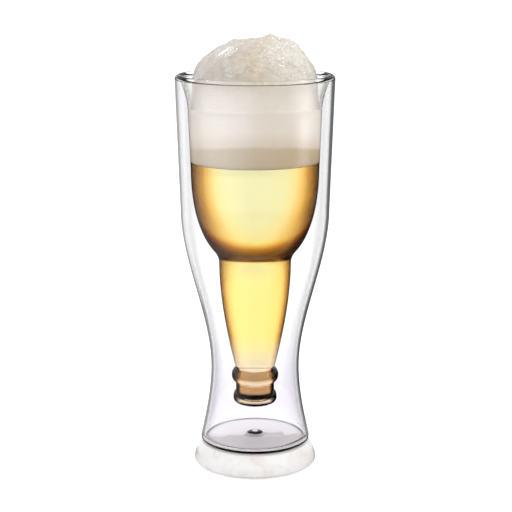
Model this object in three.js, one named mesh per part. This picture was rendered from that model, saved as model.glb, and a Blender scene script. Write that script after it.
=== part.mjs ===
// A double-walled beer glass: a bottle standing on its head inside a tall waisted glass.
// The two walls are fused at the rim, the air between them is sealed by a plug in the floor,
// and the glass stands on a milky foot. It is shown full of beer with a head of froth.
// Millimetres, +Z up, origin under the middle of the foot.
import * as THREE from 'three';

// Facets round every turned piece
const roundSides = 36;

// Foot
const footHeight = 13.4;
const footLedge = 1.6; // how far its top reaches past the flat of the heel
const footSplay = 4.4; // how far its widest ring stands out past its top
const footRingHeight = 2; // height of the widest ring
const footSideBend = 4; // height of the side's handle above the widest ring
const footUnderRound = 7.5; // how far the underside draws in

// Outer wall
const outerWall = 1.6;
const floorThickness = 2;
const heelRadius = 31.4;
const heelRound = 2.2;
const floorRound = 2.4; // hollow of the inside corner
const waistGap = 10.2; // air beside the bottle's collar
const waistRise = 1.4; // waist above the collar
const bellyGap = 3; // air beside the bottle's body
const bellyRise = 31.4; // belly above the bottle's shoulder

// Vent in the floor and the plug that seals it
const ventRadius = 2.5;
const plugHeadRadius = 5;
const plugHeadHeight = 1.8;
const plugStand = 0.8; // how far the plug's tip stands above the floor
const recessClearance = 1; // room round the plug's head in the foot

// Bottle, from its closed mouth at the bottom up to its open end at the rim
const bottleWall = 1.6;
const airUnderBottle = 19.6;
const bottleBottom = 2.4; // glass under the beer
const boreRound = 3; // hollow at the bottom of the bore
const throatRadius = 11;
const lipHeight = 7;
const lipBulge = 1.5;
const lipBulgeHeight = 3.1; // widest part of the lip above its underside
const lipRound = 3;
const grooveHeight = 5.8;
const collarHeight = 7.9;
const collarBulge = 2.4;
const neckLength = 61.9;
const neckRadius = 20.4;
const neckBend = 25; // height below the shoulder where the taper's handle sits
const shoulderOut = 2.6;
const shoulderRise = 7;
const shoulderBend = 3.8; // height of the hollow's handle above the neck
const bowlHeight = 46;
const bodyDraft = 1.3; // widening of the body towards its open end
const bodyHeight = 33;
const bodyRadius = 37.3;
const flareHeight = 18.1;
const flareOut = 4.5;
const flareBend = 9.7; // height below the rim where the flare's handle sits

// Rim
const rimGap = 1; // air between the two walls where the rim closes them
const rimHeight = 2.3;

// Beer and froth
const fitGap = 0.3; // between a piece and the wall round it
const frothDepth = 45.5; // froth below the rim
const domeDrop = 0.3; // where the dome springs from, below the underside of the rim
const domeHeight = 22.4;
const domeFullness = 0.6;
const frothLumps = [
  { out: 10, turn: 0, high: 2.8, across: 6 },
  { out: 21, turn: 10, high: 3.2, across: 4.5 },
  { out: 28, turn: -6, high: 2.6, across: 3.2 },
  { out: 12, turn: 178, high: 0.8, across: 3.2 },
  { out: 23, turn: 28, high: 1.6, across: 5.5 },
  { out: 22, turn: 118, high: 2, across: 6 },
  { out: 24, turn: 232, high: 1.8, across: 6 },
  { out: 21, turn: 305, high: 1.2, across: 6.5 },
];

// Heights up the axis
const floorZ = footHeight + floorThickness;
const bottleZ = floorZ + airUnderBottle;
const lipTopZ = bottleZ + lipHeight;
const grooveTopZ = lipTopZ + grooveHeight;
const collarTopZ = grooveTopZ + collarHeight;
const neckTopZ = collarTopZ + neckLength;
const shoulderZ = neckTopZ + shoulderRise;
const bowlTopZ = shoulderZ + bowlHeight;
const bodyTopZ = bowlTopZ + bodyHeight;
const rimSeatZ = bodyTopZ + flareHeight;
const beerZ = rimSeatZ - frothDepth;
const waistZ = collarTopZ + waistRise;
const bellyZ = neckTopZ + bellyRise;

// Radii that follow from the bottle inside
const waistRadius = throatRadius + collarBulge + waistGap + outerWall;
const bellyRadius = bodyRadius + bellyGap + outerWall;
const rimRadius = bodyRadius + flareOut + rimGap + outerWall;
const heelFlatRadius = heelRadius - heelRound;
const bowlRadius = bodyRadius - bodyDraft;
const shoulderRadius = neckRadius + shoulderOut;
const boreRadius = throatRadius - bottleWall;

const quarterTurn = Math.PI / 2;

// Where a curve's handle sits along the span that the curve crosses
const heelEase = 0.4;
const bellyEase = 0.33;
const bowlSpread = 0.92; // outwards from the shoulder
const bowlLift = 0.28; // upwards from the shoulder
const bowlEase = 0.18; // downwards from the top of the bowl

// A point of a profile: distance from the axis, height
function at(radius, height) {
  return new THREE.Vector2(radius, height);
}

function line(from, to) {
  return [from, to];
}

function bend(from, handle, to, steps) {
  return new THREE.QuadraticBezierCurve(from, handle, to).getPoints(steps);
}

function sweep(from, handleFrom, handleTo, to, steps) {
  return new THREE.CubicBezierCurve(from, handleFrom, handleTo, to).getPoints(steps);
}

function ellipse(centre, across, up, start, end, steps) {
  const clockwise = end < start;
  const curve = new THREE.EllipseCurve(centre.x, centre.y, across, up, start, end, clockwise);
  return curve.getPoints(steps);
}

// Runs of points end to end, with each shared end kept once
function join(...runs) {
  const merged = 1e-4;
  return runs.flat().filter((p, i, all) => i === 0 || p.distanceTo(all[i - 1]) > merged);
}

// A profile that runs upwards, moved towards the axis by a wall's thickness
function inset(points, thickness) {
  return points.map((p, i) => {
    const before = points[Math.max(i - 1, 0)];
    const after = points[Math.min(i + 1, points.length - 1)];
    const along = after.clone().sub(before).normalize();
    return at(p.x - along.y * thickness, p.y + along.x * thickness);
  });
}

function crossing(points, height) {
  const k = points.findIndex((p, i) => i > 0 && p.y >= height);
  const low = points[k - 1];
  const high = points[k];
  const share = (height - low.y) / (high.y - low.y);
  return at(low.x + (high.x - low.x) * share, height);
}

function below(points, height) {
  return [...points.filter((p) => p.y < height), crossing(points, height)];
}

function above(points, height) {
  return [crossing(points, height), ...points.filter((p) => p.y > height)];
}

function turnedGeometry(profile) {
  return new THREE.LatheGeometry(profile, roundSides).rotateX(quarterTurn);
}

function clearGlass() {
  return new THREE.MeshStandardMaterial({
    color: 0xeef2f4,
    roughness: 0.02,
    metalness: 0,
    transparent: true,
    opacity: 0.25,
  });
}

function piece(name, geometry, material) {
  const mesh = new THREE.Mesh(geometry, material);
  mesh.name = name;
  return mesh;
}

// Outside of the outer wall from the top of the heel to the rim
function outerWallCurve() {
  const heelTop = at(heelRadius, footHeight + heelRound);
  const waist = at(waistRadius, waistZ);
  const belly = at(bellyRadius, bellyZ);
  const heelHandle = at(waistRadius, waistZ - heelEase * (waistZ - heelTop.y));
  const easing = bellyEase * (bellyZ - waistZ);
  return join(
    bend(heelTop, heelHandle, waist, 6),
    sweep(waist, at(waistRadius, waistZ + easing), at(bellyRadius, bellyZ - easing), belly, 9),
    line(belly, at(rimRadius, rimSeatZ)),
  );
}

// Both faces of the outer wall, from the top of the heel to the rim
function outerWallFaces() {
  const outside = outerWallCurve();
  const inside = inset(outside, outerWall);
  inside[inside.length - 1] = at(rimRadius - outerWall, rimSeatZ);
  return { outside, inside };
}

// Floor, heel and flared lower wall, which is fused to the upper wall at the waist
function makeOuterBase() {
  const { outside, inside } = outerWallFaces();
  const cornerTop = crossing(inside, floorZ + floorRound);
  const corner = bend(at(cornerTop.x - floorRound, floorZ), at(cornerTop.x, floorZ), cornerTop, 3);
  const wallInside = above(below(inside, waistZ), cornerTop.y);
  const lining = join([at(ventRadius, floorZ)], corner, wallInside);
  const heel = ellipse(
    at(heelFlatRadius, footHeight + heelRound), heelRound, heelRound, -quarterTurn, 0, 4,
  );
  const profile = join(
    [at(ventRadius, footHeight)],
    heel,
    below(outside, waistZ),
    lining.reverse(),
    [at(ventRadius, footHeight)],
  );
  return piece('outer_base', turnedGeometry(profile), clearGlass());
}

function makeOuterShell() {
  const { outside, inside } = outerWallFaces();
  const upper = above(outside, waistZ);
  const lining = above(inside, waistZ);
  const profile = join(upper, lining.reverse(), [upper[0]]);
  return piece('outer_shell', turnedGeometry(profile), clearGlass());
}

// Outside of the bottle from the end of its neck up, run on past the rim so that it can be cut there
function bottleUpperCurve() {
  const neckTop = at(neckRadius, neckTopZ);
  const shoulder = at(shoulderRadius, shoulderZ);
  const bowlOut = at(
    shoulderRadius + bowlSpread * (bowlRadius - shoulderRadius), shoulderZ + bowlLift * bowlHeight,
  );
  const bowlUp = at(bowlRadius, bowlTopZ - bowlEase * bowlHeight);
  const bowlTop = at(bowlRadius, bowlTopZ);
  const lipEnd = at(bodyRadius + flareOut, rimSeatZ);
  const pastRim = at(lipEnd.x + flareOut, lipEnd.y + flareBend);
  return join(
    bend(at(throatRadius, collarTopZ), at(neckRadius, neckTopZ - neckBend), neckTop, 7),
    bend(neckTop, at(neckRadius, neckTopZ + shoulderBend), shoulder, 3),
    sweep(shoulder, bowlOut, bowlUp, bowlTop, 7),
    line(bowlTop, at(bodyRadius, bodyTopZ)),
    bend(at(bodyRadius, bodyTopZ), at(bodyRadius, rimSeatZ - flareBend), lipEnd, 5),
    [pastRim],
  );
}

// Inside of the bottle from the axis up past the rim, drawn in by a gap
function bottleInside(gap) {
  const radius = boreRadius - gap;
  const low = bottleZ + bottleBottom + gap;
  return join(
    [at(0, low)],
    ellipse(at(radius - boreRound, low + boreRound), boreRound, boreRound, -quarterTurn, 0, 3),
    [at(radius, collarTopZ)],
    inset(bottleUpperCurve(), bottleWall + gap).slice(1),
  );
}

function bottleMouthRadius() {
  return crossing(bottleInside(0), rimSeatZ).x;
}

function makeInnerBottle() {
  const lipMid = bottleZ + lipBulgeHeight;
  const lipFoot = throatRadius + lipBulge - lipRound;
  const collarMid = at(throatRadius, grooveTopZ + collarHeight / 2);
  const outside = join(
    [at(0, bottleZ)],
    ellipse(at(lipFoot, lipMid), lipRound, lipBulgeHeight, -quarterTurn, 0, 3),
    ellipse(at(throatRadius, lipMid), lipBulge, lipHeight - lipBulgeHeight, 0, quarterTurn, 3),
    [at(throatRadius, grooveTopZ)],
    ellipse(collarMid, collarBulge, collarHeight / 2, -quarterTurn, quarterTurn, 6),
    bottleUpperCurve(),
  );
  const inside = below(bottleInside(0), rimSeatZ);
  const profile = join(below(outside, rimSeatZ), inside.reverse());
  return piece('inner_bottle', turnedGeometry(profile), clearGlass());
}

// The bead that fuses the two walls, seated on both
function makeRimBead() {
  const mouthRadius = bottleMouthRadius();
  const middle = at((mouthRadius + rimRadius) / 2, rimSeatZ);
  const dome = ellipse(middle, (rimRadius - mouthRadius) / 2, rimHeight, 0, Math.PI, 8);
  const profile = join([at(mouthRadius, rimSeatZ)], dome.slice(0, -1), [at(mouthRadius, rimSeatZ)]);
  return piece('rim_bead', turnedGeometry(profile), clearGlass());
}

// The head bears on the underside of the floor, the stem fills the vent
function makeVentPlug() {
  const stem = ventRadius - fitGap;
  const head = ellipse(at(0, footHeight), plugHeadRadius, plugHeadHeight, -quarterTurn, 0, 4);
  const tip = ellipse(at(0, floorZ), stem, plugStand, 0, quarterTurn, 3);
  const profile = join(head, [at(stem, footHeight)], tip);
  const frosted = new THREE.MeshStandardMaterial({
    color: 0xd9dcdf,
    roughness: 0.25,
    metalness: 0,
    transparent: true,
    opacity: 0.6,
  });
  return piece('vent_plug', turnedGeometry(profile), frosted);
}

function makeFoot() {
  const topRadius = heelFlatRadius + footLedge;
  const ringRadius = topRadius + footSplay;
  const recessRadius = plugHeadRadius + recessClearance;
  const recessZ = footHeight - plugHeadHeight - recessClearance;
  const under = at(ringRadius - footUnderRound, footRingHeight);
  const sideHandle = at(ringRadius, footRingHeight + footSideBend);
  const profile = join(
    [at(0, 0)],
    ellipse(under, footUnderRound, footRingHeight, -quarterTurn, 0, 4),
    bend(at(ringRadius, footRingHeight), sideHandle, at(topRadius, footHeight), 5),
    [at(recessRadius, footHeight), at(recessRadius, recessZ), at(0, recessZ)],
  );
  const milky = new THREE.MeshStandardMaterial({
    color: 0xf1eeea,
    roughness: 0.45,
    metalness: 0,
  });
  return piece('foot', turnedGeometry(profile), milky);
}

function makeBeer() {
  const profile = join(below(bottleInside(fitGap), beerZ), [at(0, beerZ)]);
  const amber = new THREE.MeshStandardMaterial({
    color: 0xf3c64f,
    roughness: 0.05,
    metalness: 0,
    transparent: true,
    opacity: 0.75,
  });
  return piece('beer', turnedGeometry(profile), amber);
}

// Height that the lumps add to the dome, dying out towards its edge
function lumpHeight(x, y, domeRadius) {
  const rim = 1 - (x * x + y * y) / (domeRadius * domeRadius);
  const sum = frothLumps.reduce((total, lump) => {
    const turn = THREE.MathUtils.degToRad(lump.turn);
    const away = Math.hypot(x - lump.out * Math.cos(turn), y - lump.out * Math.sin(turn));
    return total + lump.high * Math.exp(-0.5 * (away / lump.across) ** 2);
  }, 0);
  return sum * Math.sqrt(Math.max(rim, 0));
}

function makeFrothHead() {
  const column = above(below(bottleInside(fitGap), bodyTopZ), beerZ);
  const domeRadius = column[column.length - 1].x;
  const springZ = rimSeatZ - domeDrop;
  const rings = 9;
  const dome = Array.from({ length: rings }, (_, i) => {
    const turn = (quarterTurn * (i + 1)) / rings;
    const rise = domeHeight * Math.sin(turn) ** (2 * domeFullness);
    return at(i + 1 < rings ? domeRadius * Math.cos(turn) : 0, springZ + rise);
  });
  const profile = join([at(0, beerZ)], column, [at(domeRadius, springZ)], dome);
  const geometry = turnedGeometry(profile);
  const spots = geometry.getAttribute('position');
  for (let i = 0; i < spots.count; i += 1) {
    const z = spots.getZ(i);
    if (z > springZ) {
      spots.setZ(i, z + lumpHeight(spots.getX(i), spots.getY(i), domeRadius));
    }
  }
  const froth = new THREE.MeshStandardMaterial({
    color: 0xe6ddd0,
    roughness: 0.8,
    metalness: 0,
  });
  return piece('froth_head', geometry, froth);
}

const glass = new THREE.Group();
glass.add(
  makeFoot(),
  makeOuterBase(),
  makeOuterShell(),
  makeVentPlug(),
  makeInnerBottle(),
  makeRimBead(),
  makeBeer(),
  makeFrothHead(),
);

export default glass;
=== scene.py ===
# Double-wall beer glass: a bottle on its head in a waisted glass, on a milky foot, full of beer under froth.
import math
import bmesh
import bpy
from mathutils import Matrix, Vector, noise
from mathutils.geometry import interpolate_bezier


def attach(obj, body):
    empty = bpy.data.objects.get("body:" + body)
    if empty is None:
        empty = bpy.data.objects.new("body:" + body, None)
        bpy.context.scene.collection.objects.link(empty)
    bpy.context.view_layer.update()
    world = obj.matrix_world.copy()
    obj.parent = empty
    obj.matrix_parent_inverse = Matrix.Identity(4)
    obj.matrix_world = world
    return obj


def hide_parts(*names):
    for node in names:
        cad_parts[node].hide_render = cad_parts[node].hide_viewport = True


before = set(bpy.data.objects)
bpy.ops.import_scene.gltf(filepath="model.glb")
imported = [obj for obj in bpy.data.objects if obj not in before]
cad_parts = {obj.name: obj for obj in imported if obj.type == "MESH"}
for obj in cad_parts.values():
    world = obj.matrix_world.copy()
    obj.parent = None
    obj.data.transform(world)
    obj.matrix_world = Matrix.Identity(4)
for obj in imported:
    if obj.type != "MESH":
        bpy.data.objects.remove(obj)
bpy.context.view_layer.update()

scene = bpy.context.scene
mm = 0.001
tooClose = 0.004  # mm, profile points nearer to each other than this are one
print("frame loaded:", ", ".join(sorted(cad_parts)))


# sRGB hex to the linear colour that the sockets take
def hexColour(code):
    parts = [int(code[i:i + 2], 16) / 255 for i in (0, 2, 4)]
    return [c / 12.92 if c < 0.04045 else ((c + 0.055) / 1.055) ** 2.4 for c in parts] + [1]


# a strength as a linear grey
def grey(strength):
    return [strength] * 3 + [1]


# a node with its settings, its values or links, and the stops of a ramp
def addNode(tree, kind, inputs=None, stops=None, **settings):
    node = tree.nodes.new("ShaderNode" + kind)
    for name, value in settings.items():
        setattr(node, name, value)
    for name, value in (inputs or {}).items():
        if isinstance(value, bpy.types.NodeSocket):
            tree.links.new(value, node.inputs[name])
        else:
            node.inputs[name].default_value = value
    if stops:
        ramp = node.color_ramp.elements
        while len(ramp) < len(stops):
            ramp.new(0.5)
        for element, (place, colour) in zip(ramp, stops):
            element.position = place
            element.color = hexColour(colour)
    return node


def newMaterial(name):
    material = bpy.data.materials.new(name)
    material.use_nodes = True
    material.node_tree.nodes.clear()
    return material, material.node_tree


# profile points in mm, x away from the axis and y up it, as many as count says
def bend(start, handle, end, count):
    a, h, b = Vector(start), Vector(handle), Vector(end)
    return interpolate_bezier(a, a.lerp(h, 2 / 3), b.lerp(h, 2 / 3), b, count)


def sweep(start, handleA, handleB, end, count):
    return interpolate_bezier(Vector(start), Vector(handleA), Vector(handleB), Vector(end), count)


def straight(start, end, count):
    return [Vector(start).lerp(Vector(end), i / (count - 1)) for i in range(count)]


# part of an ellipse, in degrees
def arc(centre, across, up, start, end, count):
    turns = [math.radians(start + (end - start) * i / (count - 1)) for i in range(count)]
    return [Vector((centre[0] + across * math.cos(t), centre[1] + up * math.sin(t))) for t in turns]


def joinRuns(*runs):
    points = [Vector(p) for run in runs for p in run]
    return [p for i, p in enumerate(points) if i == 0 or (p - points[i - 1]).length > tooClose]


# an upward profile moved towards the axis
def inset(points, thickness):
    moved = []
    for i, p in enumerate(points):
        along = (points[min(i + 1, len(points) - 1)] - points[max(i - 1, 0)]).normalized()
        moved.append(Vector((p.x - along.y * thickness, p.y + along.x * thickness)))
    return moved


def crossing(points, height):
    k = next(i for i, p in enumerate(points) if i and p.y >= height)
    low, high = points[k - 1], points[k]
    return low.lerp(high, (height - low.y) / (high.y - low.y))


def below(points, height):
    return [p for p in points if p.y < height] + [crossing(points, height)]


def above(points, height):
    return [crossing(points, height)] + [p for p in points if p.y > height]


# spins a profile once round the axis; a ring closes on its first point, a solid starts and ends on the axis
def spinPiece(profile, steps, closeRing=False):
    bm = bmesh.new()
    verts = [bm.verts.new((p[0] * mm, 0, p[1] * mm)) for p in profile]
    edges = [bm.edges.new(pair) for pair in zip(verts, verts[1:])]
    if closeRing:
        edges.append(bm.edges.new((verts[-1], verts[0])))
    bmesh.ops.spin(bm, geom=verts + edges, cent=(0, 0, 0), axis=(0, 0, 1), angle=math.tau, steps=steps,
                   use_merge=True)
    bmesh.ops.remove_doubles(bm, verts=bm.verts, dist=1e-6)
    bmesh.ops.recalc_face_normals(bm, faces=bm.faces)
    return bm


# mesh to object: smooth, with creases sharper than the given angle kept
def finishPiece(name, bm, materials, nodes, crease=35):
    for face in bm.faces:
        face.smooth = True
    for edge in bm.edges:
        if len(edge.link_faces) == 2 and edge.calc_face_angle() > math.radians(crease):
            edge.smooth = False
    mesh = bpy.data.meshes.new(name)
    bm.to_mesh(mesh)
    bm.free()
    piece = bpy.data.objects.new(name, mesh)
    scene.collection.objects.link(piece)
    for material in materials:
        mesh.materials.append(material)
    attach(piece, "root")
    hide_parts(*nodes)
    print(name, len(mesh.polygons), "faces")


# the faces whose middle, in mm out from the axis and up it, meets a rule take another material
def paintWhere(bm, index, rule):
    for face in bm.faces:
        spot = face.calc_center_median() / mm
        if rule(spot.xy.length, spot.z):
            face.material_index = index


# so do the faces that lie flat at one height
def paintLevel(bm, index, height):
    for face in bm.faces:
        if all(abs(v.co.z - height * mm) < 1e-7 for v in face.verts):
            face.material_index = index


glass = {
    "ior": 1.47, "roughness": 0.0,
    "wave": 26, "waveDepth": 0.012,  # mm between the slow waves of the wall, and their depth
    "tintTop": 250}  # mm up, where a ramp of tints by height ends

# each look paints shade into the glass by how far it turns from the eye, darker towards its edges, and some
# also paint shade and highlights by height
outerLook = {
    "edge": [(0.0, "ffffff"), (0.66, "fdfdfe"), (0.78, "efedf1"), (0.86, "bab8be"), (0.94, "a09ea4"),
             (1.0, "969498")],
    "lowEdge": [(0.0, "ffffff"), (0.65, "fcfbfd"), (0.69, "8c8a90"), (0.715, "161618"), (0.75, "020202")],
    "lowTo": 95, "highFrom": 135,  # mm up, where the lower wall's darker painted edge shade, drawn as if that wall were thicker, passes into the upper one's
    # painted shade: a faint lavender grey low on the wall, clear higher up
    "height": [(0.0, "fbfafc"), (0.07, "fbfafc"), (0.12, "f5f3f7"), (0.22, "f8f6fa"), (0.3, "ffffff")]}
liningLook = {  # inner face of the outer wall
    "edge": [(0.0, "ffffff"), (0.8, "fbfafc"), (0.93, "e2e0e4"), (1.0, "c4c2c8")],
    # the same painted lavender shade low on the inner face
    "height": outerLook["height"]}
bottleLook = {
    "edge": [(0.0, "ffffff"), (0.6, "fdfcf8"), (0.78, "cfc6b4"), (0.88, "57493a"), (0.96, "120e0a")]}
thinLook = {  # free of the beer
    "edge": [(0.0, "ffffff"), (0.7, "fbfaf8"), (0.86, "d8d4ce"), (0.97, "56524c")],
    "ior": 1.12}
mouthLook = {
    "edge": [(0.0, "ffffff"), (0.36, "fff0dc"), (0.45, "806038"), (0.52, "080502"), (0.6, "000000")],
    "upright": True,  # the rings' own roundness leaves the tint alone
    "bare": 2.5, "ior": 1.2,
    # painted shade and highlights by height: black over the lip as shade with a cream painted highlight line
    # on it, tan painted shade in the groove and collar, cream painted highlight bands between
    "height": [(0.1512, "000000"), (0.1527, "f8d8a0"), (0.157, "fff0d0"), (0.159, "000000"),  # lip
               (0.171, "000000"), (0.1728, "b88c5c"), (0.1748, "a07040"), (0.178, "98683c"),  # groove
               (0.187, "98683c"), (0.191, "ffeccc"), (0.201, "ffeccc"), (0.205, "845c34"),  # collar
               (0.223, "98704a"), (0.226, "fff0dc"), (0.23, "ffffff")]}
# painted shade: the heel's outer face is black, for the dark line where the glass stands in the foot
heelLook = {
    "edge": [(0.0, "080809"), (0.03, "000000"), (1.0, "000000")],
    "bare": 0.5, "ior": 1.2}
rimLook = {
    "edge": [(0.0, "ffffff"), (0.6, "fcfaf6"), (0.74, "d8d2c8"), (0.785, "7a6e60"), (1.0, "685e52")],
    "bare": 0.5, "ior": 1.12}


# blown borosilicate: clear and colourless face on, with painted shade, grey to black, where the eye looks
# along the wall
def blownGlass(name, look):
    material, tree = newMaterial(name)
    place = addNode(tree, "TexCoord")
    parts = addNode(tree, "SeparateXYZ", {"Vector": place.outputs["Object"]})
    weight = addNode(tree, "LayerWeight", {"Blend": 0.5})
    if look.get("upright"):
        sideways = addNode(tree, "VectorMath", {0: place.outputs["Normal"], 1: (1, 1, 0)},
                           operation="MULTIPLY")
        outward = addNode(tree, "VectorMath", {0: sideways.outputs["Vector"]}, operation="NORMALIZE")
        tree.links.new(outward.outputs["Vector"], weight.inputs["Normal"])
    # painted edge shade: the tint darkens as the face turns from the eye
    colour = addNode(tree, "ValToRGB", {"Fac": weight.outputs["Facing"]}, look["edge"])
    if "lowEdge" in look:
        low = addNode(tree, "ValToRGB", {"Fac": weight.outputs["Facing"]}, look["lowEdge"])
        share = addNode(tree, "MapRange", {
            "Value": parts.outputs["Z"], "From Min": look["lowTo"] * mm, "From Max": look["highFrom"] * mm})
        colour = addNode(tree, "MixRGB", {
            "Fac": share.outputs["Result"], "Color1": low.outputs["Color"],
            "Color2": colour.outputs["Color"]})
    if "height" in look:
        rise = addNode(tree, "Math", {0: parts.outputs["Z"], 1: glass["tintTop"] * mm}, operation="DIVIDE")
        cast = addNode(tree, "ValToRGB", {"Fac": rise.outputs[0]}, look["height"])
        colour = addNode(tree, "MixRGB", {
            "Fac": 1.0, "Color1": colour.outputs["Color"], "Color2": cast.outputs["Color"]},
            blend_type="MULTIPLY")
    if "bare" in look:  # tints only the faces that a ray meets first, and leaves what lies behind them clear
        path = addNode(tree, "LightPath")
        later = addNode(tree, "Math", {0: path.outputs["Ray Depth"], 1: look["bare"]},
                        operation="GREATER_THAN")
        colour = addNode(tree, "MixRGB", {
            "Fac": later.outputs[0], "Color1": colour.outputs["Color"], "Color2": hexColour("ffffff")})
    waves = addNode(tree, "TexNoise", {
        "Vector": place.outputs["Object"], "Scale": 1 / (glass["wave"] * mm), "Detail": 0.0})
    bump = addNode(tree, "Bump", {
        "Height": waves.outputs["Fac"], "Strength": 1.0, "Distance": glass["waveDepth"] * mm})
    shader = addNode(tree, "BsdfPrincipled", {
        "Base Color": colour.outputs["Color"], "Roughness": glass["roughness"],
        "IOR": look.get("ior", glass["ior"]), "Transmission Weight": 1.0, "Normal": bump.outputs["Normal"]})
    addNode(tree, "OutputMaterial", {"Surface": shader.outputs["BSDF"]})
    return material


# where two walls are melted into one there is no surface left to bend the light
def fusedGlass():
    material, tree = newMaterial("fused glass seam")
    shader = addNode(tree, "BsdfPrincipled", {
        "Base Color": hexColour("ffffff"), "Roughness": 0.0, "IOR": 1.0, "Transmission Weight": 1.0})
    addNode(tree, "OutputMaterial", {"Surface": shader.outputs["BSDF"]})
    return material


outerGlass = blownGlass("blown borosilicate outer wall", outerLook)
liningGlass = blownGlass("blown borosilicate outer wall within", liningLook)
heelGlass = blownGlass("borosilicate of the heel, painted black as a shade line", heelLook)
bottleGlass = blownGlass("blown borosilicate bottle", bottleLook)
mouthGlass = blownGlass("thick borosilicate of the mouth", mouthLook)
thinGlass = blownGlass("thin borosilicate above the beer", thinLook)
rimGlass = blownGlass("fused borosilicate rim", rimLook)
seam = fusedGlass()
print("glass ready")

# heights and radii in mm, shared by the pieces that fit each other
level = {
    "footTop": 13.4, "floorTop": 15.4, "bottleFoot": 35.0, "lipTop": 42.0, "grooveTop": 47.8,
    "collarTop": 55.7, "neckTop": 117.6, "shoulder": 124.6, "bowlTop": 170.6, "bodyTop": 203.6,
    "rimSeat": 221.7, "beerTop": 176.2, "waist": 57.1, "belly": 149.0}
radius = {
    "heel": 31.4, "waist": 25.2, "belly": 41.9, "rim": 44.4, "bore": 9.4, "throat": 11.0, "neck": 20.4,
    "shoulder": 23.0, "bowl": 36.0, "body": 37.3, "lipEnd": 41.8}

outerWall = {
    "thickness": 1.6, "heelRound": 2.2, "floorRound": 2.4, "heelEase": 0.4, "bellyEase": 0.33,
    "heelRise": 0.4,  # the heel's painted black shade line reaches this far above its rounding
    "vent": 2.5, "punt": 0.5,  # the floor rises by the punt to the vent
    "puntIn": 0.45, "puntOut": 0.6,  # handles of that rise, as shares of the floor's half width
    "upturned": 0.7,  # a face whose normal rises more than this is the floor's top
    "steps": 168}


def outerCurve():
    heelTop = (radius["heel"], level["footTop"] + outerWall["heelRound"])
    waist = (radius["waist"], level["waist"])
    belly = (radius["belly"], level["belly"])
    rim = (radius["rim"], level["rimSeat"])
    heelHandle = (radius["waist"], waist[1] - outerWall["heelEase"] * (waist[1] - heelTop[1]))
    ease = outerWall["bellyEase"] * (belly[1] - waist[1])
    return joinRuns(bend(heelTop, heelHandle, waist, 60),
                    sweep(waist, (waist[0], waist[1] + ease), (belly[0], belly[1] - ease), belly, 48),
                    straight(belly, rim, 30))


def makeOuterShell():
    outside = outerCurve()
    inside = inset(outside, outerWall["thickness"])
    inside[-1] = Vector((radius["rim"] - outerWall["thickness"], level["rimSeat"]))
    cornerTop = crossing(inside, level["floorTop"] + outerWall["floorRound"])
    corner = bend((cornerTop.x - outerWall["floorRound"], level["floorTop"]),
                  (cornerTop.x, level["floorTop"]), cornerTop, 8)
    flat = radius["heel"] - outerWall["heelRound"]
    heelTop = level["footTop"] + outerWall["heelRound"]
    heel = arc((flat, heelTop), outerWall["heelRound"], outerWall["heelRound"], -90, 0, 10)
    puntTop = level["floorTop"] + outerWall["punt"]
    floorIn = sweep((outerWall["vent"], puntTop), (corner[0].x * outerWall["puntIn"], puntTop),
                    (corner[0].x * outerWall["puntOut"], level["floorTop"]), corner[0], 24)
    floorOut = straight((outerWall["vent"], level["footTop"]), heel[0], 8)
    lining = joinRuns(floorIn, corner, above(inside, cornerTop.y))
    bm = spinPiece(joinRuns(floorOut, heel, outside, lining[::-1]), outerWall["steps"], closeRing=True)
    for face in bm.faces:
        toAxis = face.normal.xy.dot(face.calc_center_median().xy) < 0
        if toAxis or face.normal.z > outerWall["upturned"]:
            face.material_index = 3  # the lining
    paintLevel(bm, 1, level["rimSeat"])
    # the heel's faces take the painted black shade line
    paintWhere(bm, 2, lambda out, up: out > flat and up < heelTop + outerWall["heelRise"])
    finishPiece("outerShell", bm, [outerGlass, seam, heelGlass, liningGlass],
                ["outer_base", "outer_shell"])


bottle = {
    "wall": 1.6, "bottom": 2.4, "boreRound": 3.0, "lipBulge": 1.5, "lipBulgeHeight": 3.1, "lipRound": 3.0,
    "collarBulge": 2.4, "neckBend": 25.0, "shoulderBend": 3.8, "flareOut": 4.5, "flareBend": 9.7,
    "bowlSpread": 0.92, "bowlLift": 0.28, "bowlEase": 0.18,
    "mouthPast": 2, "mouthSkin": 0.5,  # the mouth's thick glass ends past the collar and outside the bore
    "steps": 160}


# outside of the bottle from the top of the collar to past the rim
def bottleUpper():
    neckTop = (radius["neck"], level["neckTop"])
    shoulder = (radius["shoulder"], level["shoulder"])
    wide, high = radius["bowl"] - radius["shoulder"], level["bowlTop"] - level["shoulder"]
    bowlOut = (shoulder[0] + bottle["bowlSpread"] * wide, shoulder[1] + bottle["bowlLift"] * high)
    bowlUp = (radius["bowl"], level["bowlTop"] - bottle["bowlEase"] * high)
    bowlTop = Vector((radius["bowl"], level["bowlTop"]))
    bodyTop = Vector((radius["body"], level["bodyTop"]))
    beerLine = crossing([bowlTop, bodyTop], level["beerTop"])
    lipEnd = (radius["lipEnd"], level["rimSeat"])
    past = (lipEnd[0] + bottle["flareOut"], lipEnd[1] + bottle["flareBend"])
    return joinRuns(
        bend((radius["throat"], level["collarTop"]), (radius["neck"], level["neckTop"] - bottle["neckBend"]),
             neckTop, 40),
        bend(neckTop, (radius["neck"], level["neckTop"] + bottle["shoulderBend"]), shoulder, 10),
        sweep(shoulder, bowlOut, bowlUp, bowlTop, 36),
        straight(bowlTop, beerLine, 4),
        straight(beerLine, bodyTop, 12),
        bend(bodyTop, (radius["body"], level["rimSeat"] - bottle["flareBend"]), lipEnd, 24),
        straight(lipEnd, past, 6))


# inside of the bottle from the axis up past the rim, drawn in by a gap
def bottleInside(gap):
    bore = radius["bore"] - gap
    low = level["bottleFoot"] + bottle["bottom"] + gap
    return joinRuns(straight((0, low), (bore - bottle["boreRound"], low), 5),
                    arc((bore - bottle["boreRound"], low + bottle["boreRound"]), bottle["boreRound"],
                        bottle["boreRound"], -90, 0, 10),
                    straight((bore, low + bottle["boreRound"]), (bore, level["collarTop"]), 8),
                    inset(bottleUpper(), bottle["wall"] + gap)[1:])


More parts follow.
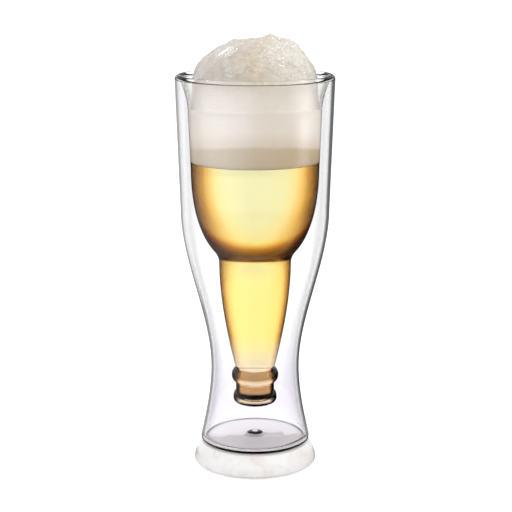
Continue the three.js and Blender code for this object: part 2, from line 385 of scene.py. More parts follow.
def makeInnerBottle():
    lipMid = level["bottleFoot"] + bottle["lipBulgeHeight"]
    lipFoot = radius["throat"] + bottle["lipBulge"] - bottle["lipRound"]
    collarHalf = (level["collarTop"] - level["grooveTop"]) / 2
    outside = joinRuns(
        straight((0, level["bottleFoot"]), (lipFoot, level["bottleFoot"]), 5),
        arc((lipFoot, lipMid), bottle["lipRound"], bottle["lipBulgeHeight"], -90, 0, 12),
        arc((radius["throat"], lipMid), bottle["lipBulge"], level["lipTop"] - lipMid, 0, 90, 10),
        straight((radius["throat"], level["lipTop"]), (radius["throat"], level["grooveTop"]), 6),
        arc((radius["throat"], level["grooveTop"] + collarHalf), bottle["collarBulge"], collarHalf,
            -90, 90, 22),
        bottleUpper())
    inside = below(bottleInside(0), level["rimSeat"])
    bm = spinPiece(joinRuns(below(outside, level["rimSeat"]), inside[::-1]), bottle["steps"])
    mouthTop = level["collarTop"] + bottle["mouthPast"]
    paintWhere(bm, 2, lambda out, up: up < mouthTop and out > radius["bore"] + bottle["mouthSkin"])
    paintWhere(bm, 3, lambda out, up: up > level["beerTop"])
    paintLevel(bm, 1, level["rimSeat"])
    finishPiece("innerBottle", bm, [bottleGlass, seam, mouthGlass, thinGlass],
                ["inner_bottle"])


rimBead = {"height": 2.3, "steps": 168}


# the bead that melts both walls together
def makeRimBead():
    mouth = crossing(bottleInside(0), level["rimSeat"]).x
    half = (radius["rim"] - mouth) / 2
    dome = arc((mouth + half, level["rimSeat"]), half, rimBead["height"], 0, 180, 24)
    gapIn, gapOut = radius["lipEnd"], radius["rim"] - outerWall["thickness"]
    under = [Vector((x, level["rimSeat"])) for x in (mouth, gapIn, gapOut)]
    bm = spinPiece(joinRuns(dome, under), rimBead["steps"], closeRing=True)
    paintLevel(bm, 1, level["rimSeat"])
    finishPiece("rimBead", bm, [rimGlass, seam], ["rim_bead"])


makeOuterShell()
makeInnerBottle()
makeRimBead()

plug = {
    "stem": 2.2, "head": 5.0, "headHeight": 1.8, "button": 4.8, "buttonTurn": 68, "stand": 1.3,
    "tip": 1.7, "tipHigh": 1.3, "steps": 72,
    "drop": 0.05, "clear": 0.02,  # mm that it keeps from the underside and the top of the glass floor
    "rings": [(0.0, "ffffff"), (0.33, "f8f8fa"), (0.36, "5a585c"), (0.4, "0c0b0d"), (0.86, "161517"),
              (0.92, "a8a6aa"), (1.0, "f4f2f6")],  # out from the axis to the head's edge: a painted bright centre, a painted dark ring of shade, then paler to the edge
    "pale": [(0.0, "ffffff"), (1.0, "f6f5f7")]}


# soft clear sealing compound, with painted light and shade: bright where the stem lets the light up, dark
# under the head's shoulder
def sealCompound(name, rings):
    material, tree = newMaterial(name)
    place = addNode(tree, "TexCoord")
    flat = addNode(tree, "VectorMath", {0: place.outputs["Object"], 1: (1, 1, 0)}, operation="MULTIPLY")
    out = addNode(tree, "VectorMath", {0: flat.outputs["Vector"]}, operation="LENGTH")
    share = addNode(tree, "Math", {0: out.outputs["Value"], 1: plug["head"] * mm}, operation="DIVIDE")
    tint = addNode(tree, "ValToRGB", {"Fac": share.outputs[0]}, rings)
    shader = addNode(tree, "BsdfPrincipled", {
        "Base Color": tint.outputs["Color"], "Roughness": 0.15, "IOR": 1.45, "Transmission Weight": 0.2})
    addNode(tree, "OutputMaterial", {"Surface": shader.outputs["BSDF"]})
    return material


def makePlug():
    under = level["footTop"] - plug["drop"]
    head = arc((0, under), plug["head"], plug["headHeight"], -90, 0, 14)
    floor = level["floorTop"] + outerWall["punt"] + plug["clear"]
    button = arc((0, floor), plug["button"], plug["stand"], 0, plug["buttonTurn"], 12)
    tip = arc((0, button[-1].y), plug["tip"], plug["tipHigh"], 0, 90, 10)
    profile = joinRuns(head, [(plug["stem"], under), (plug["stem"], floor)], button, tip)
    bm = spinPiece(profile, plug["steps"])
    paintWhere(bm, 1, lambda out, up: up < floor)
    materials = [sealCompound("clear sealing compound", plug["rings"]),
                 sealCompound("white sealing compound", plug["pale"])]
    finishPiece("ventPlug", bm, materials, ["vent_plug"])


makePlug()

foot = {
    "top": 30.8, "ring": 35.2, "ringHeight": 2.0, "sideBend": 4.0, "underRound": 7.5, "recess": 6.0,
    "recessDepth": 2.8, "grip": 0.05, "gripTo": 27, "ease": 0.15, "steps": 144,
    "grain": 0.35, "grainDeep": 0.05, "satin": (0.42, 0.58),  # mm, frosting of the skin, and its roughness
    "patch": 11, "skin": [(0.3, "fefefd"), (0.5, "fbf9f8"), (0.72, "f3ece8")],  # mm, milky patches
    "side": 12.4, "sideFade": 0.5,  # height where the side passes into the seat under the glass
    "hollow": "d4d2d1",  # painted shade of the seat at the front, which passes into white towards the back
    "unshadedFrom": 8, "unshadedTo": 15, "unshadedWave": 26}


# moulded silicone: milky, lets a little light in, smooth and glossy outside over a faint frosting; the seat
# under the glass carries painted shade at the front
def milkySilicone():
    material, tree = newMaterial("moulded milky silicone")
    place = addNode(tree, "TexCoord")
    frost = addNode(tree, "TexNoise", {
        "Vector": place.outputs["Object"], "Scale": 1 / (foot["grain"] * mm), "Detail": 2.0})
    bump = addNode(tree, "Bump", {
        "Height": frost.outputs["Fac"], "Strength": 0.1, "Distance": foot["grainDeep"] * mm})
    rough = addNode(tree, "MapRange", {
        "Value": frost.outputs["Fac"], "To Min": foot["satin"][0], "To Max": foot["satin"][1]})
    parts = addNode(tree, "SeparateXYZ", {"Vector": place.outputs["Object"]})
    seated = addNode(tree, "MapRange", {
        "Value": parts.outputs["Z"], "From Min": foot["side"] * mm,
        "From Max": (foot["side"] + foot["sideFade"]) * mm})
    patchy = addNode(tree, "TexNoise", {
        "Vector": place.outputs["Object"], "Scale": 1 / (foot["patch"] * mm), "Detail": 2.0,
        "Distortion": 1.2})
    tint = addNode(tree, "ValToRGB", {"Fac": patchy.outputs["Fac"]}, foot["skin"])
    # painted shade on the seat: grey at the front, white towards the back, along a wavy edge
    reach = addNode(tree, "Math", {
        0: patchy.outputs["Fac"], 1: foot["unshadedWave"] * mm, 2: parts.outputs["Y"]}, operation="MULTIPLY_ADD")
    unshaded = addNode(tree, "MapRange", {
        "Value": reach.outputs[0], "From Min": foot["unshadedFrom"] * mm, "From Max": foot["unshadedTo"] * mm},
        interpolation_type="SMOOTHSTEP")
    seat = addNode(tree, "MixRGB", {
        "Fac": unshaded.outputs["Result"], "Color1": hexColour(foot["hollow"]), "Color2": hexColour("ffffff")})
    colour = addNode(tree, "MixRGB", {
        "Fac": seated.outputs["Result"], "Color1": tint.outputs["Color"], "Color2": seat.outputs["Color"]})
    shader = addNode(tree, "BsdfPrincipled", {
        "Base Color": colour.outputs["Color"], "Roughness": rough.outputs["Result"], "IOR": 1.41,
        "Transmission Weight": 0.03, "Normal": bump.outputs["Normal"],
        "Coat Weight": 1.0, "Coat Roughness": 0.12})
    addNode(tree, "OutputMaterial", {"Surface": shader.outputs["BSDF"]})
    return material


def makeFoot():
    top = level["footTop"] - foot["ease"]
    seat = level["footTop"] + foot["grip"]  # here the skin clings to the glass with no air between
    recessFloor = seat - foot["recessDepth"]
    flat = foot["ring"] - foot["underRound"]
    profile = joinRuns(
        straight((0, 0), (flat, 0), 8),
        arc((flat, foot["ringHeight"]), foot["underRound"], foot["ringHeight"], -90, 0, 14),
        bend((foot["ring"], foot["ringHeight"]), (foot["ring"], foot["ringHeight"] + foot["sideBend"]),
             (foot["top"], top), 20),
        straight((foot["top"], top), (foot["gripTo"], top), 5),
        straight((foot["gripTo"], seat), (foot["recess"], seat), 12),
        straight((foot["recess"], recessFloor), (0, recessFloor), 3))
    bm = spinPiece(profile, foot["steps"])
    finishPiece("foot", bm, [milkySilicone()], ["foot"])


makeFoot()

beer = {
    "wet": 0.3,  # mm that the beer reaches into the wall it wets, so that no air lies between them
    "ior": 1.34, "steps": 160,
    "bowl": [(0.0, "eef5d7"), (0.07, "f2f4c8"), (0.11, "ffe698"), (0.15, "eeb04c"), (0.19, "a86c24"),
             (0.24, "60401c"), (0.285, "301c0a"), (0.35, "120a03")],
    "sag": 0.022, "sagFrom": 158, "sagTo": 142,  # painted shade: the bowl's underside darkens sooner
    "neck": [(0.0, "fff5a4"), (0.12, "fff096"), (0.17, "ffdc78"), (0.208, "f2b456"), (0.246, "be742c"),
             (0.285, "5a3512"), (0.32, "1c0f05")],
    "throat": [(0.0, "fff6e0"), (0.35, "fdeccc"), (0.45, "e0bc88"), (0.55, "8a6236"), (0.65, "3a2614")],
    "throatTo": 52, "neckFrom": 76, "neckTo": 100, "bowlFrom": 150,  # heights where each passes into the next
    "end": "fff6e0", "endFrom": -0.2, "endTo": 0.4,  # the flat end stays clear, mm above the bottle's bottom
    "mirror": 0.1,  # how much its faces mirror
    "absorb": "ffe9a0", "density": 8.0}


# lager: clear pale gold through the middle, with amber then brown painted at its sides as shade, where the
# light is bent away
def clearLager():
    material, tree = newMaterial("clear lager")
    weight = addNode(tree, "LayerWeight", {"Blend": 0.5})
    facing = weight.outputs["Facing"]
    place = addNode(tree, "TexCoord")
    parts = addNode(tree, "SeparateXYZ", {"Vector": place.outputs["Object"]})
    sag = addNode(tree, "MapRange", {
        "Value": parts.outputs["Z"], "From Min": beer["sagTo"] * mm, "From Max": beer["sagFrom"] * mm,
        "To Min": beer["sag"], "To Max": 0.0})
    turned = addNode(tree, "Math", {0: facing, 1: sag.outputs["Result"]}, operation="ADD")
    bowl = addNode(tree, "ValToRGB", {"Fac": turned.outputs[0]}, beer["bowl"])
    neck = addNode(tree, "ValToRGB", {"Fac": facing}, beer["neck"])
    throat = addNode(tree, "ValToRGB", {"Fac": facing}, beer["throat"])
    lift = addNode(tree, "MapRange", {
        "Value": parts.outputs["Z"], "From Min": beer["throatTo"] * mm, "From Max": beer["neckFrom"] * mm})
    lower = addNode(tree, "MixRGB", {
        "Fac": lift.outputs["Result"], "Color1": throat.outputs["Color"], "Color2": neck.outputs["Color"]})
    rise = addNode(tree, "MapRange", {
        "Value": parts.outputs["Z"], "From Min": beer["neckTo"] * mm, "From Max": beer["bowlFrom"] * mm})
    sides = addNode(tree, "MixRGB", {
        "Fac": rise.outputs["Result"], "Color1": lower.outputs["Color"], "Color2": bowl.outputs["Color"]})
    flat = level["bottleFoot"] + bottle["bottom"]
    wall = addNode(tree, "MapRange", {
        "Value": parts.outputs["Z"], "From Min": (flat + beer["endFrom"]) * mm,
        "From Max": (flat + beer["endTo"]) * mm})
    tint = addNode(tree, "MixRGB", {
        "Fac": wall.outputs["Result"], "Color1": hexColour(beer["end"]), "Color2": sides.outputs["Color"]})
    shader = addNode(tree, "BsdfPrincipled", {
        "Base Color": tint.outputs["Color"], "Roughness": 0.0, "IOR": beer["ior"],
        "Transmission Weight": 1.0, "Specular Tint": grey(beer["mirror"])})
    depth = addNode(tree, "VolumeAbsorption", {
        "Color": hexColour(beer["absorb"]), "Density": beer["density"]})
    addNode(tree, "OutputMaterial", {"Surface": shader.outputs["BSDF"], "Volume": depth.outputs["Volume"]})
    return material


def makeBeer():
    side = below(bottleInside(-beer["wet"]), level["beerTop"])
    top = straight(side[-1], (0, level["beerTop"]), 6)
    bm = spinPiece(joinRuns(side, top), beer["steps"])
    finishPiece("beer", bm, [clearLager()], ["beer"])


makeBeer()

# lengths in mm
froth = {
    "sink": 0.2, "wet": 0.3,  # how far it reaches into the beer and into the wall
    "spring": 221.4, "domeHeight": 22.4, "fullness": 0.6, "reach": 34.6, "steps": 400, "rings": 120,
    "lumps": [(10, 0, 3.0, 4.2), (21, 10, 3.2, 4.2), (28, -6, 2.6, 2.8), (12, 178, 1.2, 2.6),
              (5, 180, -1.3, 4.5), (23, 28, 1.6, 5.5), (22, 118, 2.0, 6.0), (24, 232, 1.8, 6.0),
              (21, 305, 1.2, 6.5)],  # out, turn, high, across
    "reliefIn": 8, "reliefUp": 0.8,  # height over which the relief sets in, and how much it points upwards
    "swell": 9, "swellHigh": 0.6, "swellKind": (1.0, 2.0, 2),  # soft swellings; roughness, gap and octaves
    "cells": 2.2, "cellWide": 0.65, "cellHigh": 0.22, "cellRight": 0.42,  # bubbles, higher at the right
    "cellFrom": -14, "cellSpan": 26,
    "streakAt": (-15, -17, 237.5), "streakWide": 4.5, "streakGap": 2.1, "streakHigh": 0.24,  # wet ridges, with painted highlight strokes along them
    "streakLean": (-0.6, 0.8), "streakWander": 5, "streakSway": 22.0, "streakCrisp": (0.1, 0.9),
    # the painted highlight strokes and glints take the shine colour
    "streakFade": (3, 7.2), "streakShine": 0.9, "shine": "fbfaff",
    "column": [(0.0, "ddd6cf"), (0.2, "e2dcd7"), (0.44, "e1dbd5"), (0.54, "dbd4c9"), (0.75, "dcd4c9"),
               (0.9, "e8e2da")],  # left to right, paler at the left and brighter at the right end as painted light, and so is the crown, which goes from painted shade at the left to painted light at the right
    "crown": [(0.0, "cbc2ba"), (0.3, "c9c1b5"), (0.5, "cfc2ad"), (0.65, "dad2c5"), (0.9, "e0dace")],
    "across": (-27, 43), "crownFrom": 215, "crownTo": 226,
    "cloud": 18, "cloudUp": 2.0, "cloudAcross": 16,  # slow clouds that bend the edges of the tones
    "mottle": 5.0, "mottleDeep": 0.16, "mottleSpan": (0.3, 0.7),  # patches in the crown's tone
    "glintCell": 1.9, "glintPick": (0.72, 0.76), "glintEdge": (0.16, 0.26),  # the larger bubbles, which get painted white glints
    "bubble": 1.1, "bubbleDeep": 0.3, "bubbleBump": (0.3, 0.8),  # fine bubbles, deeper at the upper right
    "right": (-20, 24),
    # the drained band: darker and yellower as its own colour, lighter at the left as painted light
    "wetLeft": "c4b9a9", "wetRight": "bfae92", "wetTop": 184.0, "wetEdge": 4.5,
    "wetTilt": 0.16,  # the drained band stands higher at the front
    "damp": 9, "dampShare": 0.4,
    "touchTo": 205.0, "touchEnd": 208.2, "touchGain": 1.095}  # painted light: paler below, to make up for the light that the wall it touches takes away


# beer froth: off-white, soft, finely bubbled, darker and yellower where it drains into the beer; painted
# light and shade across it, with painted glints and highlight strokes
def frothMaterial():
    material, tree = newMaterial("beer froth")
    place = addNode(tree, "TexCoord")
    spot = place.outputs["Object"]
    parts = addNode(tree, "SeparateXYZ", {"Vector": spot})
    cloud = addNode(tree, "TexNoise", {
        "Vector": spot, "Scale": 1 / (froth["cloud"] * mm), "Detail": 4.0, "Roughness": 0.6})
    tilt = addNode(tree, "VectorMath", {0: spot, 1: (0.0, froth["wetTilt"], 1.0)}, operation="DOT_PRODUCT")
    wander = addNode(tree, "Math", {
        0: cloud.outputs["Fac"], 1: froth["cloudUp"] * mm, 2: tilt.outputs["Value"]},
        operation="MULTIPLY_ADD")
    drain = addNode(tree, "MapRange", {
        "Value": wander.outputs[0], "From Min": (froth["wetTop"] - froth["wetEdge"] / 2) * mm,
        "From Max": (froth["wetTop"] + froth["wetEdge"] / 2) * mm, "To Min": 1.0, "To Max": 0.0},
        interpolation_type="SMOOTHSTEP")
    drift = addNode(tree, "Math", {
        0: cloud.outputs["Fac"], 1: froth["cloudAcross"] * mm, 2: parts.outputs["X"]},
        operation="MULTIPLY_ADD")
    across = addNode(tree, "MapRange", {
        "Value": drift.outputs[0], "From Min": froth["across"][0] * mm, "From Max": froth["across"][1] * mm})
    # painted light and shade across the froth, left to right
    column = addNode(tree, "ValToRGB", {"Fac": across.outputs["Result"]}, froth["column"])
    crown = addNode(tree, "ValToRGB", {"Fac": across.outputs["Result"]}, froth["crown"])
    right = addNode(tree, "MapRange", {
        "Value": parts.outputs["X"], "From Min": froth["right"][0] * mm, "From Max": froth["right"][1] * mm},
        interpolation_type="SMOOTHSTEP")
    free = addNode(tree, "MapRange", {
        "Value": parts.outputs["Z"], "From Min": froth["crownFrom"] * mm, "From Max": froth["crownTo"] * mm},
        interpolation_type="SMOOTHSTEP")
    spots = addNode(tree, "TexNoise", {
        "Vector": spot, "Scale": 1 / (froth["mottle"] * mm), "Detail": 5.0, "Roughness": 0.7})
    dapple = addNode(tree, "MapRange", {
        "Value": spots.outputs["Fac"], "From Min": froth["mottleSpan"][0], "From Max": froth["mottleSpan"][1],
        "To Min": 1 - froth["mottleDeep"], "To Max": 1 + froth["mottleDeep"]})
    dappled = addNode(tree, "VectorMath", {
        0: crown.outputs["Color"], "Scale": dapple.outputs["Result"]}, operation="SCALE")
    dome = addNode(tree, "MixRGB", {
        "Fac": free.outputs["Result"], "Color1": column.outputs["Color"],
        "Color2": dappled.outputs["Vector"]})
    # the drained band's own darker colour, lighter at the left as painted light
    soaked = addNode(tree, "MixRGB", {
        "Fac": right.outputs["Result"], "Color1": hexColour(froth["wetLeft"]),
        "Color2": hexColour(froth["wetRight"])})
    damp = addNode(tree, "MapRange", {
        "Value": wander.outputs[0], "From Min": froth["wetTop"] * mm,
        "From Max": (froth["wetTop"] + froth["damp"]) * mm, "To Min": froth["dampShare"], "To Max": 0.0},
        interpolation_type="SMOOTHSTEP")
    both = addNode(tree, "Math", {0: drain.outputs["Result"], 1: damp.outputs["Result"]}, operation="MAXIMUM")
    tone = addNode(tree, "MixRGB", {
        "Fac": both.outputs[0], "Color1": dome.outputs["Color"], "Color2": soaked.outputs["Color"]})
    # painted light: the colour is raised below, where the wall takes light away
    touch = addNode(tree, "MapRange", {
        "Value": parts.outputs["Z"], "From Min": froth["touchTo"] * mm, "From Max": froth["touchEnd"] * mm,
        "To Min": froth["touchGain"], "To Max": 1.0})
    evened = addNode(tree, "VectorMath", {
        0: tone.outputs["Color"], "Scale": touch.outputs["Result"]}, operation="SCALE")
    # painted glints on some of the larger bubbles at the upper right
    grains = addNode(tree, "TexVoronoi", {
        "Vector": spot, "Scale": 1 / (froth["glintCell"] * mm), "Randomness": 1.0})
    pick = addNode(tree, "SeparateColor", {"Color": grains.outputs["Color"]})
    chosen = addNode(tree, "MapRange", {
        "Value": pick.outputs["Red"], "From Min": froth["glintPick"][0], "From Max": froth["glintPick"][1]})
    middle = addNode(tree, "MapRange", {
        "Value": grains.outputs["Distance"], "From Min": froth["glintEdge"][0],
        "From Max": froth["glintEdge"][1], "To Min": 1.0, "To Max": 0.0})
    glint = addNode(tree, "Math", {0: chosen.outputs["Result"], 1: middle.outputs["Result"]},
                    operation="MULTIPLY")
    upperRight = addNode(tree, "Math", {0: right.outputs["Result"], 1: free.outputs["Result"]},
                         operation="MULTIPLY")
    glints = addNode(tree, "Math", {0: glint.outputs[0], 1: upperRight.outputs[0]}, operation="MULTIPLY")
    # painted highlight strokes at the upper left, along the wet ridges of the mesh
    leanX, leanZ = froth["streakLean"]
    lean = addNode(tree, "VectorMath", {
        0: spot, 1: [c / (froth["streakGap"] * mm) * math.tau for c in (leanX, 0, leanZ)]},
        operation="DOT_PRODUCT")
    wobble = addNode(tree, "Math", {
        0: cloud.outputs["Fac"], 1: froth["streakSway"], 2: lean.outputs["Value"]}, operation="MULTIPLY_ADD")
    stroke = addNode(tree, "Math", {0: wobble.outputs[0]}, operation="SINE")
    crisp = addNode(tree, "MapRange", {
        "Value": stroke.outputs[0], "From Min": froth["streakCrisp"][0], "From Max": froth["streakCrisp"][1]})
    centre = addNode(tree, "VectorMath", {
        0: spot, 1: [c * mm for c in froth["streakAt"]]}, operation="DISTANCE")
    patch = addNode(tree, "MapRange", {
        "Value": centre.outputs["Value"], "From Min": froth["streakFade"][0] * mm,
        "From Max": froth["streakFade"][1] * mm, "To Min": froth["streakShine"], "To Max": 0.0})
    strokes = addNode(tree, "Math", {0: crisp.outputs["Result"], 1: patch.outputs["Result"]},
                      operation="MULTIPLY")
    shiny = addNode(tree, "Math", {0: glints.outputs[0], 1: strokes.outputs[0]}, operation="MAXIMUM")
    colour = addNode(tree, "MixRGB", {
        "Fac": shiny.outputs[0], "Color1": evened.outputs["Vector"], "Color2": hexColour(froth["shine"])})
    bubbles = addNode(tree, "TexVoronoi", {
        "Vector": spot, "Scale": 1 / (froth["bubble"] * mm), "Randomness": 1.0})
    depth = addNode(tree, "MapRange", {
        "Value": upperRight.outputs[0], "To Min": froth["bubbleBump"][0], "To Max": froth["bubbleBump"][1]})
    bump = addNode(tree, "Bump", {
        "Height": bubbles.outputs["Distance"], "Strength": depth.outputs["Result"],
        "Distance": froth["bubbleDeep"] * mm}, invert=True)
    shader = addNode(tree, "BsdfPrincipled", {
        "Base Color": colour.outputs["Color"], "Roughness": 0.45, "IOR": 1.34, "Coat Weight": 0.9,
        "Coat Roughness": 0.08, "Subsurface Weight": 0.4, "Subsurface Radius": (1.0, 0.8, 0.6),
        "Subsurface Scale": 2.5 * mm, "Normal": bump.outputs["Normal"],
        "Coat Normal": bump.outputs["Normal"]})
    addNode(tree, "OutputMaterial", {"Surface": shader.outputs["BSDF"]})
    return material


# a round hill, 1 at its middle
def hill(away, across):
    return math.exp(-0.5 * (away / across) ** 2)


def lumpHeight(x, y, reach):
    total = 0
    for out, turn, high, across in froth["lumps"]:
        a = math.radians(turn)
        total += high * hill(math.hypot(x - out * math.cos(a), y - out * math.sin(a)), across)
    return total * math.sqrt(max(1 - (x * x + y * y) / reach ** 2, 0))


def makeFroth():
    bottom = level["beerTop"] - froth["sink"]
    spring, reach = froth["spring"], froth["reach"]
    column = above(below(bottleInside(-froth["wet"]), level["bodyTop"]), bottom)
    turns = [math.radians(90 * i / froth["rings"]) for i in range(froth["rings"] + 1)]
    full = 2 * froth["fullness"]
    dome = [Vector((reach * math.cos(t), spring + froth["domeHeight"] * math.sin(t) ** full)) for t in turns]
    dome[-1].x = 0
    profile = joinRuns(straight((0, bottom), column[0], 8), column,
                       straight(column[-1], (reach, spring), 24), dome)
    bm = spinPiece(profile, froth["steps"])
    streakX, streakY = froth["streakAt"][:2]
    leanX, leanZ = froth["streakLean"]
    for vert in bm.verts:
        spot = vert.co / mm
        x, y, z = spot
        if z > spring:
            share = min((z - spring) / froth["reliefIn"], 1)
            right = min(max((x - froth["cellFrom"]) / froth["cellSpan"], 0), 1)
            near = min(noise.voronoi(spot / froth["cells"])[0][0] / froth["cellWide"], 1)
            cell = (1 - near * near) * (froth["cellHigh"] + (froth["cellRight"] - froth["cellHigh"]) * right)
            swell = noise.fractal(spot / froth["swell"], *froth["swellKind"]) * froth["swellHigh"]
            wet = hill(math.hypot(x - streakX, y - streakY), froth["streakWide"])
            along = leanZ * z + leanX * x + noise.noise(spot / froth["streakWander"])
            ridge = math.sin(math.tau * along / froth["streakGap"]) * froth["streakHigh"]
            out = Vector((x / reach, y / reach, froth["reliefUp"])).normalized()
            vert.co += out * (swell + cell * (1 - wet) + ridge * wet) * share * mm
            vert.co.z += lumpHeight(x, y, reach) * mm
    finishPiece("frothHead", bm, [frothMaterial()], ["froth_head"], crease=180)


makeFroth()
print("pieces made")

studio = {
    "open": 0.93, "inside": 1.45, "through": 1.3,  # light on open pieces, behind glass, and seen through it
    "floorShare": 0.7,  # of the light behind the glass, from the floor
    "floorGlow": 0.4, "floorWhite": "f2f2f2", "floorSize": 20, "floorDrop": 0.0003,  # m
    "backdrop": [(0.0, "ffffff"), (0.105, "ffffff"), (0.134, "fff3ca"), (0.168, "e8bf90"), (0.2, "bb8a58"),
                 (0.257, "84603f"), (0.32, "5a4028"), (1.0, "40301f")],  # up from the horizon, by sine
    # cards round from straight behind by the left, the front and the right, for the outer skin and for within
    "cards": [(0.0, "a8a8a8"), (0.08, "a8a8a8"), (0.096, "f4f4f4"), (0.14, "f4f4f4"), (0.165, "404040"),
              (0.2, "404040"), (0.23, "a8a8a8"), (0.36, "a8a8a8"), (0.48, "282828"), (0.84, "282828"),
              (0.86, "e0e0e0"), (0.889, "e0e0e0"), (0.904, "666666"), (1.0, "666666")],
    "cardsWithin": [(0.0, "808080"), (0.09, "909090"), (0.11, "0c0c0c"), (0.2, "0c0c0c"), (0.23, "bcbcbc"),
                    (0.36, "bcbcbc"), (0.48, "141414"), (0.7, "141414"), (0.765, "f0f0f0"), (0.78, "f0f0f0"),
                    (0.83, "0c0c0c"), (0.89, "0c0c0c"), (0.91, "808080"), (1.0, "808080")],
    "between": "242322",  # mirrored between the two walls
    "cardGain": 1.2, "deepGain": 3.5,  # the second for what lies behind both walls
    "oneWall": 2.5, "bothWalls": 4.5,  # more faces passed than this puts a ray behind the walls
    "cardTop": (0.15, 0.3),  # by sine, where the cards end and the open light begins
    "upward": [(0.0, "fdfcfa"), (0.42, "f6f4f2"), (0.55, "5a585e"), (1.0, "38363a")],
    "upGain": 1.25}  # mirrored in the glass floor, by sine


# sorts the rays that reach the set: out of a scattering piece, off a mirror face, or behind glass at all
def raySorts(tree):
    some, never = 0.5, -20.0  # a ray that has scattered is never a mirrored one
    path = addNode(tree, "LightPath")
    scattered = addNode(tree, "Math", {0: path.outputs["Diffuse Depth"], 1: some}, operation="GREATER_THAN")
    bounced = addNode(tree, "Math", {
        0: path.outputs["Diffuse Depth"], 1: never, 2: path.outputs["Glossy Depth"]},
        operation="MULTIPLY_ADD")
    mirrored = addNode(tree, "Math", {0: bounced.outputs[0], 1: some}, operation="GREATER_THAN")
    behind = addNode(tree, "Math", {0: path.outputs["Is Transmission Ray"], 1: mirrored.outputs[0]},
                     operation="MAXIMUM")
    return path, scattered.outputs[0], mirrored.outputs[0], behind.outputs[0]


# how far round a point stands, as a share of the whole turn, and whether the ray comes from behind a wall
def cardTurn(tree, path, spot):
    parts = addNode(tree, "SeparateXYZ", {"Vector": spot})
    toFront = addNode(tree, "Math", {0: parts.outputs["Y"], 1: -1.0}, operation="MULTIPLY")
    turn = addNode(tree, "Math", {0: parts.outputs["X"], 1: toFront.outputs[0]}, operation="ARCTAN2")
    share = addNode(tree, "MapRange", {"Value": turn.outputs[0], "From Min": -math.pi, "From Max": math.pi})
    deep = addNode(tree, "Math", {0: path.outputs["Transmission Depth"], 1: studio["oneWall"]},
                   operation="GREATER_THAN")
    return share.outputs["Result"], deep.outputs[0]


# white for the eye; glass sees a white backdrop that darkens upwards, and its reflections see cards all round
def makeWorld():
    world = bpy.data.worlds.new("studio")
    scene.world = world
    world.use_nodes = True
    tree = world.node_tree
    tree.nodes.clear()
    path, scattered, mirrored, behind = raySorts(tree)
    place = addNode(tree, "TexCoord")
    parts = addNode(tree, "SeparateXYZ", {"Vector": place.outputs["Generated"]})
    backdrop = addNode(tree, "ValToRGB", {"Fac": parts.outputs["Z"]}, studio["backdrop"])
    clear = addNode(tree, "VectorMath", {
        0: backdrop.outputs["Color"], "Scale": studio["through"]}, operation="SCALE")
    turn, deep = cardTurn(tree, path, place.outputs["Generated"])
    skin = addNode(tree, "ValToRGB", {"Fac": turn}, studio["cards"])
    upward = addNode(tree, "ValToRGB", {"Fac": parts.outputs["Z"]}, studio["upward"])
    raised = addNode(tree, "VectorMath", {
        0: upward.outputs["Color"], "Scale": studio["upGain"]}, operation="SCALE")
    high = addNode(tree, "MapRange", {
        "Value": parts.outputs["Z"], "From Min": studio["cardTop"][0], "From Max": studio["cardTop"][1]})
    around = addNode(tree, "MixRGB", {
        "Fac": high.outputs["Result"], "Color1": skin.outputs["Color"], "Color2": grey(studio["open"])})
    bright = addNode(tree, "MixRGB", {
        "Fac": deep, "Color1": around.outputs["Color"], "Color2": raised.outputs["Vector"]})
    seen = addNode(tree, "MixRGB", {
        "Fac": mirrored, "Color1": clear.outputs["Vector"], "Color2": bright.outputs["Color"]})
    through = addNode(tree, "MixRGB", {
        "Fac": scattered, "Color1": seen.outputs["Color"], "Color2": grey(studio["inside"])})
    free = addNode(tree, "MixRGB", {
        "Fac": path.outputs["Is Camera Ray"], "Color1": grey(studio["open"]), "Color2": hexColour("ffffff")})
    colour = addNode(tree, "MixRGB", {
        "Fac": behind, "Color1": free.outputs["Color"], "Color2": through.outputs["Color"]})
    back = addNode(tree, "Background", {"Color": colour.outputs["Color"], "Strength": 1.0})
    addNode(tree, "OutputWorld", {"Surface": back.outputs["Background"]})


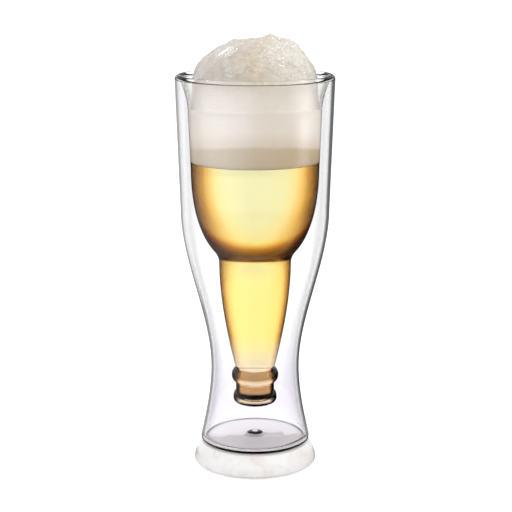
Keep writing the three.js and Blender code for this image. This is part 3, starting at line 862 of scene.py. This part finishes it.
# matt white paper; seen through glass it is as bright as the backdrop, and glass mirrors the cards in it
def makeFloor():
    bm = bmesh.new()
    bmesh.ops.create_grid(bm, x_segments=1, y_segments=1, size=studio["floorSize"])
    bmesh.ops.translate(bm, verts=bm.verts, vec=(0, 0, -studio["floorDrop"]))
    mesh = bpy.data.meshes.new("floor")
    bm.to_mesh(mesh)
    bm.free()
    floor = bpy.data.objects.new("floor", mesh)
    scene.collection.objects.link(floor)
    material, tree = newMaterial("white studio paper")
    path, scattered, mirrored, behind = raySorts(tree)
    glow = addNode(tree, "Math", {0: path.outputs["Is Camera Ray"], 1: studio["floorGlow"]},
                   operation="MULTIPLY")
    paper = addNode(tree, "BsdfPrincipled", {
        "Base Color": hexColour(studio["floorWhite"]), "Roughness": 0.9, "Specular IOR Level": 0.0,
        "Emission Color": hexColour("ffffff"), "Emission Strength": glow.outputs[0]})
    place = addNode(tree, "TexCoord")
    turn, deep = cardTurn(tree, path, place.outputs["Object"])
    skin = addNode(tree, "ValToRGB", {"Fac": turn}, studio["cards"])
    outer = addNode(tree, "VectorMath", {
        0: skin.outputs["Color"], "Scale": studio["cardGain"]}, operation="SCALE")
    within = addNode(tree, "ValToRGB", {"Fac": turn}, studio["cardsWithin"])
    gained = addNode(tree, "VectorMath", {
        0: within.outputs["Color"], "Scale": studio["deepGain"]}, operation="SCALE")
    deepest = addNode(tree, "Math", {0: path.outputs["Transmission Depth"], 1: studio["bothWalls"]},
                      operation="GREATER_THAN")
    inner = addNode(tree, "MixRGB", {
        "Fac": deepest.outputs[0], "Color1": hexColour(studio["between"]),
        "Color2": gained.outputs["Vector"]})
    cards = addNode(tree, "MixRGB", {
        "Fac": deep, "Color1": outer.outputs["Vector"], "Color2": inner.outputs["Color"]})
    seen = addNode(tree, "MixRGB", {
        "Fac": mirrored, "Color1": grey(studio["through"]), "Color2": cards.outputs["Color"]})
    through = addNode(tree, "MixRGB", {
        "Fac": scattered, "Color1": seen.outputs["Color"],
        "Color2": grey(studio["inside"] * studio["floorShare"])})
    shine = addNode(tree, "Emission", {"Color": through.outputs["Color"], "Strength": 1.0})
    surface = addNode(tree, "MixShader", {0: behind, 1: paper.outputs["BSDF"], 2: shine.outputs["Emission"]})
    addNode(tree, "OutputMaterial", {"Surface": surface.outputs["Shader"]})
    mesh.materials.append(material)


softboxes = [  # place and size in m, power in W
    {"name": "keyLeft", "at": (-0.6, -0.35, 0.95), "size": 0.3, "power": 0.9},
    {"name": "fillRight", "at": (0.8, -0.1, 0.75), "size": 0.4, "power": 0.9},
    {"name": "backLeft", "at": (-0.44, 0.65, 1.07), "size": 0.12, "power": 1.0},
    {"name": "topRight", "at": (0.53, 0.37, 1.18), "size": 0.15, "power": 1.2},
]


def makeLights():
    aim = Vector((0, 0, 0.15))
    for box in softboxes:
        lamp = bpy.data.lights.new(box["name"], "AREA")
        lamp.size = box["size"]
        lamp.energy = box["power"]
        light = bpy.data.objects.new(box["name"], lamp)
        light.location = box["at"]
        light.rotation_euler = (aim - Vector(box["at"])).to_track_quat("-Z", "Y").to_euler()
        scene.collection.objects.link(light)


view = {"at": (0.55, -787.0, 293.6), "pitch": 77.65, "lens": 99.77, "sensor": 36}  # mm and degrees


def makeCamera():
    data = bpy.data.cameras.new("camera")
    data.sensor_width = view["sensor"]
    data.lens = view["lens"]
    data.clip_start = 0.01
    data.clip_end = 100
    camera = bpy.data.objects.new("camera", data)
    camera.location = [c * mm for c in view["at"]]
    camera.rotation_euler = (math.radians(view["pitch"]), 0, 0)
    scene.collection.objects.link(camera)
    scene.camera = camera


makeWorld()
makeFloor()
makeLights()
makeCamera()
scene.view_settings.view_transform = "Standard"
scene.cycles.max_bounces = 28  # enough for the many faces of glass, beer and froth behind each other
scene.cycles.transmission_bounces = 28
scene.cycles.glossy_bounces = 10
scene.cycles.diffuse_bounces = 8
scene.cycles.blur_glossy = 0.0
print("studio set")
